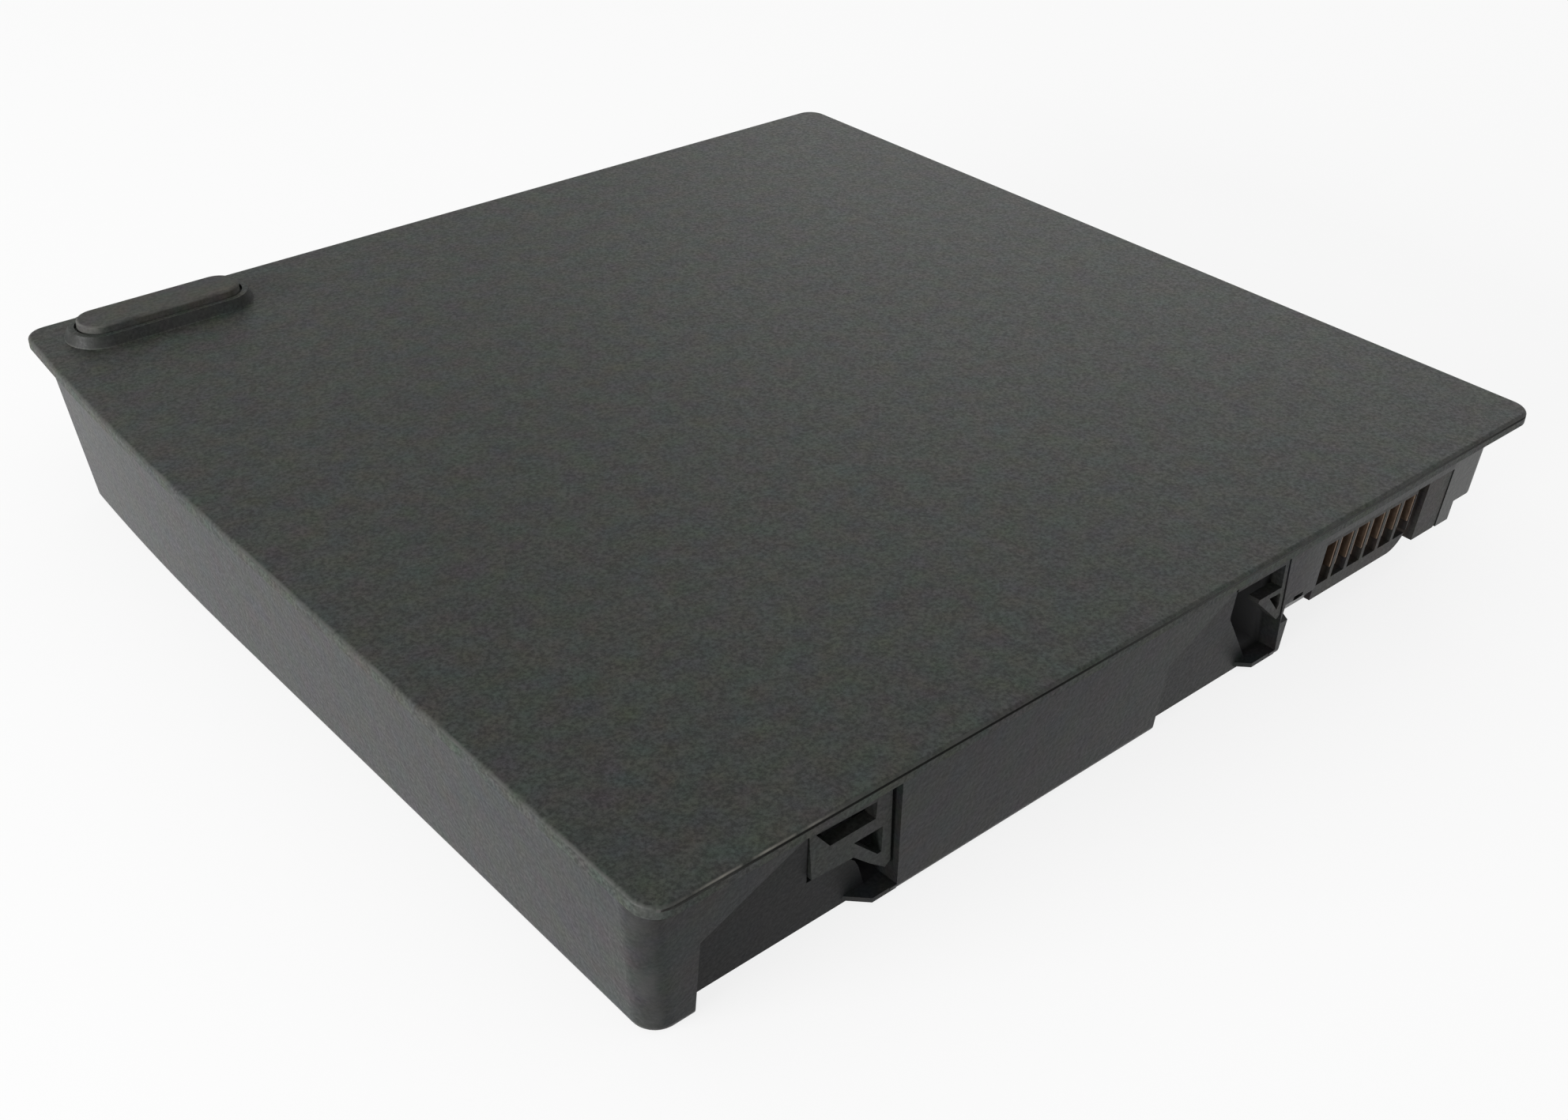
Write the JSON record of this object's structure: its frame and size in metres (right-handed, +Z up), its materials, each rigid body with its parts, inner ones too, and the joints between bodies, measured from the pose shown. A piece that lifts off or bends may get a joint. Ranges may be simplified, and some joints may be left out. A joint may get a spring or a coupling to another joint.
{
  "type": "laptop battery",
  "caption": "Squarish dark grey laptop battery pack: overhanging cover with a rubber foot, leaning tray, hook catches and a slotted connector.",
  "frame": {"origin": "middle of the cover's outline, at the level of the flat underside", "axes": "+X along the connector side towards the connector, +Y from the connector side towards the wide back lip, +Z up through the cover with the foot"},
  "size_m": [0.147, 0.1432, 0.0231],
  "materials": {
    "case_plastic": "fine moulded grain, dark grey",
    "foot_rubber": "matt black-grey rubber",
    "cell_sleeve": "shrink sleeve, dark teal",
    "nickel": "thin nickel-plated strip",
    "card_paper": "stiff insulating paper",
    "board_laminate": "green solder mask",
    "part_moulding": "black epoxy moulding",
    "connector_plastic": "dark grey-brown moulding",
    "contact_metal": "copper alloy leaves",
    "foam": "grey closed-cell foam",
    "wire_jacket": "red insulation"
  },
  "bodies": {
    "root": {"bottom_case": "case_plastic", "top_cover": "case_plastic", "rubber_foot": "foot_rubber", "left_end_strip": "nickel", "right_end_strip": "nickel", "back_middle_strip": "nickel", "pack_negative_strip": "nickel", "pack_positive_strip": "nickel", "left_card": "card_paper", "right_card": "card_paper", "middle_card": "card_paper", "protection_board": "board_laminate", "gauge_chip": "part_moulding", "transistor_pair": "part_moulding", "thermal_fuse": "part_moulding", "shunt_resistor": "part_moulding", "thermistor": "part_moulding", "sense_wire": "wire_jacket", "connector_housing": "connector_plastic", "connector_contacts": "contact_metal", "foam_strip": "foam", "cell_01": "cell_sleeve", "cell_02": "cell_sleeve", "cell_03": "cell_sleeve", "cell_04": "cell_sleeve", "cell_05": "cell_sleeve", "cell_06": "cell_sleeve", "cell_07": "cell_sleeve", "cell_08": "cell_sleeve", "cell_09": "cell_sleeve", "cell_10": "cell_sleeve", "cell_11": "cell_sleeve", "cell_12": "cell_sleeve"}
  },
  "joints": []
}
